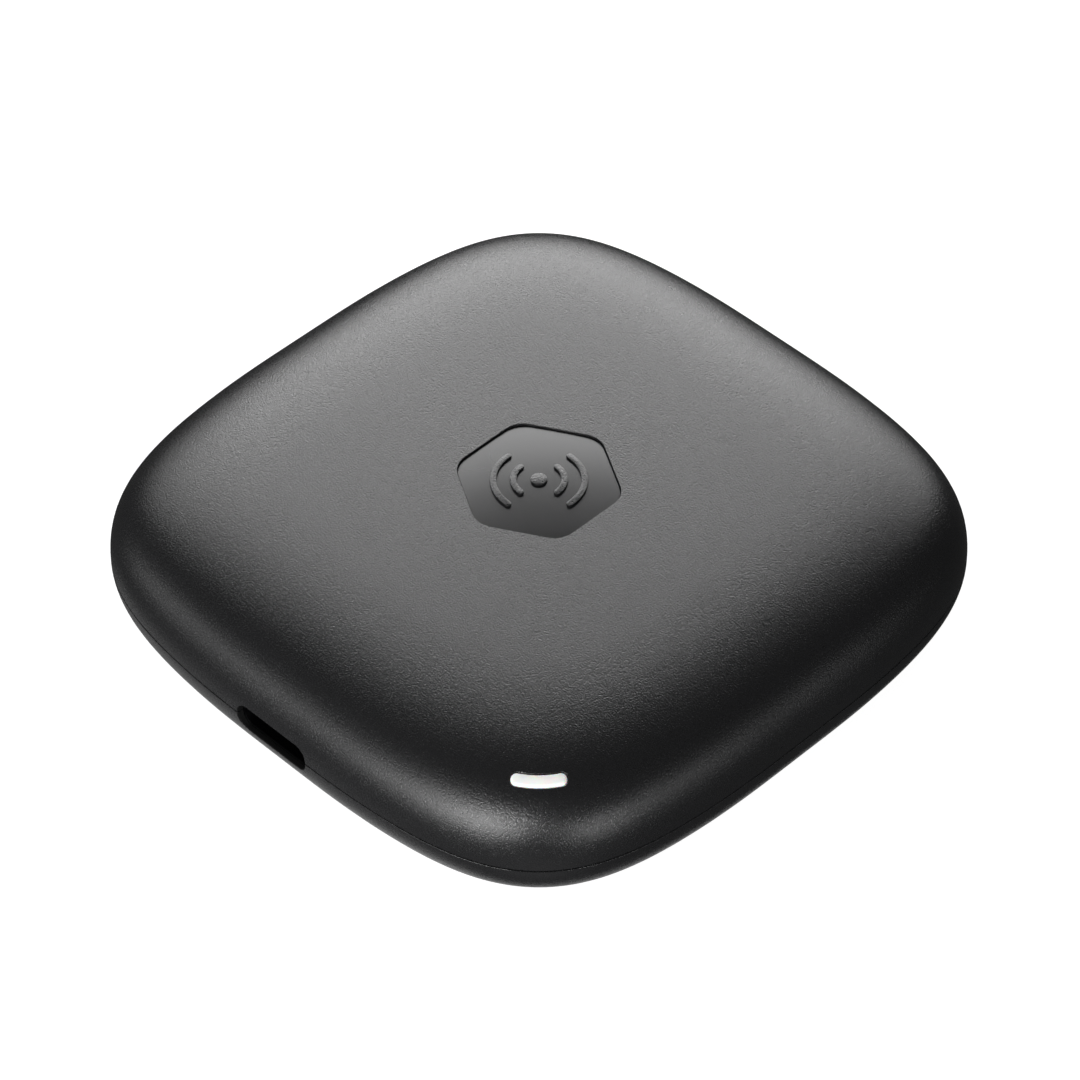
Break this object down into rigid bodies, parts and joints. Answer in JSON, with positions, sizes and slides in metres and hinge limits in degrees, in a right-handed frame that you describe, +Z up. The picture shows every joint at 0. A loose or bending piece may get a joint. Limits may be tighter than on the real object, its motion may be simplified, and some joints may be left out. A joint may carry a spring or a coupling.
{
  "type": "bluetooth tracker tag",
  "caption": "Cushion-shaped plastic tracker tag in two shells, with a recessed hexagonal push button, a USB-C port in one side and a light window in one corner.",
  "frame": {"origin": "middle of the casing's flat underside", "axes": "+Z up out of the crown, where the button is; the port faces -Y; the light window is at the corner between +X and -Y"},
  "size_m": [0.066, 0.066, 0.0137],
  "materials": {
    "top_shell": "spark-eroded texture, matt",
    "bottom_cover": "spark-eroded texture, matt",
    "perimeter_seal": "smooth, matt",
    "screws": "zinc plated",
    "button_cap": "fine satin face, textured mark",
    "button_seal": "smooth, matt",
    "light_pipe": "milky diffuser, satin",
    "status_led": "white package",
    "circuit_board": "solder mask over glass-fibre laminate",
    "switch_base": "moulded",
    "switch_metal": "stamped sheet",
    "switch_plunger": "moulded",
    "switch_dome": "formed spring sheet",
    "shield_can": "tinned sheet",
    "chips": "moulded epoxy",
    "power_inductor": "pressed ferrite powder",
    "clock_crystal": "seam-welded lid",
    "chip_antenna": "fired, silver ends",
    "usb_shell": "deep drawn, nickel plated",
    "usb_tongue": "moulded round plated contacts",
    "piezo_plate": "rolled sheet",
    "piezo_ceramic": "silvered",
    "piezo_springs": "gold-plated spring sheet",
    "battery_cell": "laminated pouch foil",
    "battery_board": "polyimide tape over a protection board",
    "battery_pad": "foam adhesive pad",
    "battery_plug": "moulded nylon",
    "battery_socket": "moulded nylon",
    "lead_red": "extruded insulation",
    "lead_black": "extruded insulation"
  },
  "bodies": {
    "casing": {"top_shell": "top_shell", "bottom_cover": "bottom_cover", "perimeter_seal": "perimeter_seal", "screw_front_left": "screws", "screw_front_right": "screws", "screw_back_left": "screws", "screw_back_right": "screws", "button_seal": "button_seal", "light_pipe": "light_pipe", "status_led": "status_led", "circuit_board": "circuit_board", "switch_base": "switch_base", "switch_cover": "switch_metal", "switch_dome": "switch_dome", "switch_terminal_front": "switch_metal", "switch_terminal_back": "switch_metal", "shield_can": "shield_can", "radio_chip": "chips", "charger_chip": "chips", "motion_sensor": "chips", "power_inductor": "power_inductor", "clock_crystal": "clock_crystal", "chip_antenna": "chip_antenna", "usb_shell": "usb_shell", "usb_tongue": "usb_tongue", "piezo_plate": "piezo_plate", "piezo_ceramic": "piezo_ceramic", "piezo_spring_middle": "piezo_springs", "piezo_spring_rim": "piezo_springs", "battery_cell": "battery_cell", "battery_board": "battery_board", "battery_pad": "battery_pad", "battery_plug": "battery_plug", "battery_socket": "battery_socket", "battery_lead_positive": "lead_red", "battery_lead_negative": "lead_black"},
    "button": {"button_cap": "button_cap"},
    "plunger": {"switch_plunger": "switch_plunger"}
  },
  "joints": [
    {"name": "button_press", "type": "slide", "parent": "casing", "child": "button", "axis": [0, 0, -1], "range_m": [0, 0.00025], "stiffness_N_per_m": 4000, "deforming": ["switch_dome"]},
    {"name": "plunger_press", "type": "slide", "parent": "casing", "child": "plunger", "axis": [0, 0, -1], "range_m": [0, 0.00025]}
  ],
  "couplings": [
    {"joint": "plunger_press", "follows": "button_press", "ratio": 1}
  ]
}
